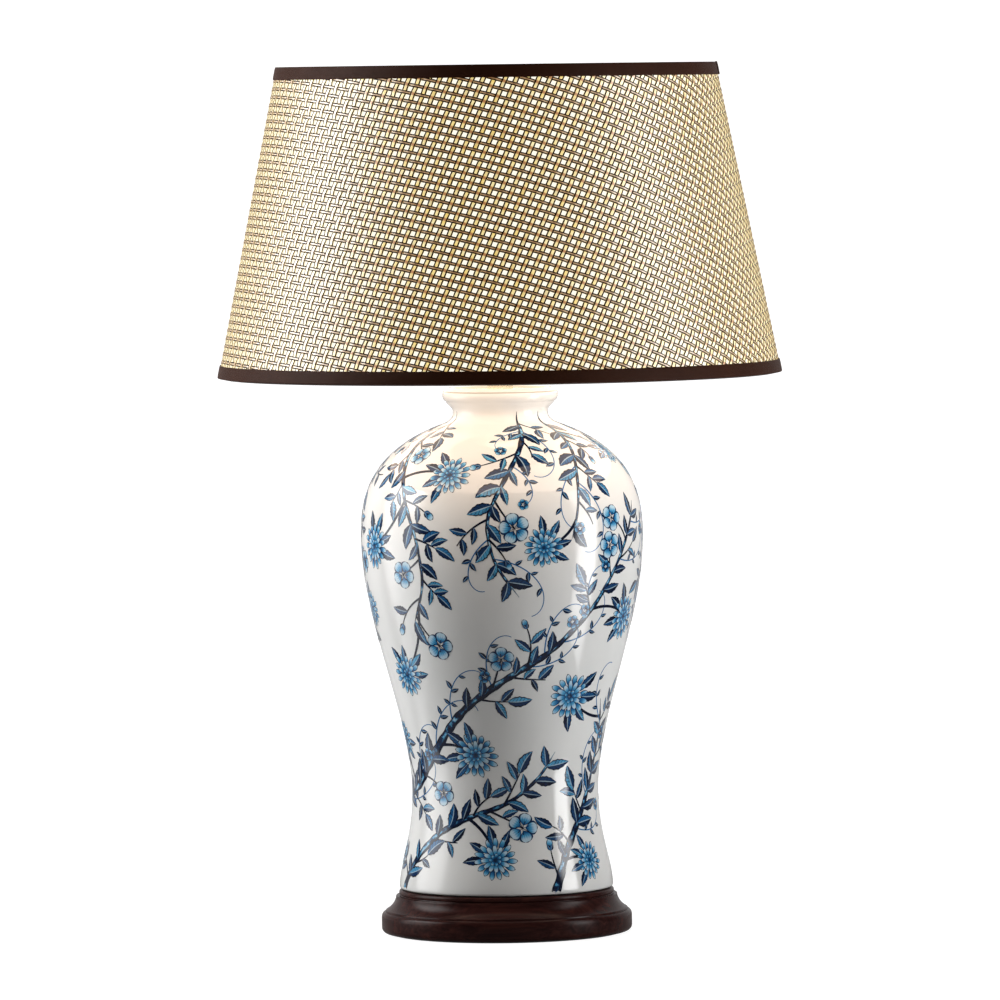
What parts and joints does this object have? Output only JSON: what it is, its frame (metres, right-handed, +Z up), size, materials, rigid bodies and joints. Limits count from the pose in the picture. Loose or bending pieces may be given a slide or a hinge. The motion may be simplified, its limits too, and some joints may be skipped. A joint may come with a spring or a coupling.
{
  "type": "table lamp",
  "caption": "Table lamp: glazed baluster vase on a turned dark wood plinth, switched lampholder, and a tapered open-weave drum shade that lifts off its wire carrier.",
  "frame": {"origin": "on the lamp's axis, at the underside of the felt that it stands on", "axes": "+Z up along the lamp's axis; -Y faces the camera of the picture; the cord leaves at +Y and the push bar runs along X"},
  "size_m": [0.4571, 0.4572, 0.7035],
  "materials": {
    "stained_wood": "dark stained and polished",
    "felt": "wool felt",
    "zinc_steel": "zinc plated",
    "dark_plastic": "moulded",
    "gasket": "matt",
    "glazed_ceramic": "white glaze with blue painting under it",
    "brass": "polished",
    "porcelain": "glazed",
    "solder": "satin",
    "black_glass": "glass seal",
    "bulb_metal": "bright",
    "opal_glass": "opal, lit",
    "plated_wire": "brass plated",
    "white_wire": "white enamel",
    "white_lining": "translucent white",
    "woven_cover": "open plain weave of varnished strands",
    "trim_tape": "folded cotton tape"
  },
  "bodies": {
    "base": {"plinth": "stained_wood", "base_felt": "felt", "plinth_washer": "zinc_steel", "plinth_nut": "zinc_steel", "cord_bush": "dark_plastic", "foot_gasket": "gasket", "vase": "glazed_ceramic", "lamp_pipe": "zinc_steel", "vase_cap": "brass", "cap_nut": "brass", "neck_tube": "brass", "holder_cap": "brass", "holder_barrel": "brass", "holder_insert": "porcelain", "screw_shell": "brass", "centre_contact": "brass", "terminal_screws": "brass", "shade_ring": "dark_plastic"},
    "switch": {"switch_bar": "dark_plastic"},
    "bulb": {"bulb_contact": "solder", "bulb_insulator": "black_glass", "bulb_cap": "bulb_metal", "bulb_glass": "opal_glass"},
    "carrier": {"shade_carrier": "plated_wire"},
    "shade": {"top_fitter": "white_wire", "bottom_wire": "white_wire", "shade_lining": "white_lining", "shade_cover": "woven_cover", "top_trim": "trim_tape", "bottom_trim": "trim_tape"}
  },
  "joints": [
    {"name": "carrier_swivel", "type": "hinge", "parent": "base", "child": "carrier", "pos_m": [0, 0, 0.482], "axis": [0, 0, 1], "continuous": true},
    {"name": "shade_lift", "type": "slide", "parent": "carrier", "child": "shade", "axis": [0, 0, 1], "range_m": [0, 0.24]},
    {"name": "bulb_out", "type": "slide", "parent": "base", "child": "bulb", "axis": [0, 0, 1], "range_m": [0, 0.22]},
    {"name": "switch_push", "type": "slide", "parent": "base", "child": "switch", "axis": [-1, 0, 0], "range_m": [0, 0.007]}
  ]
}
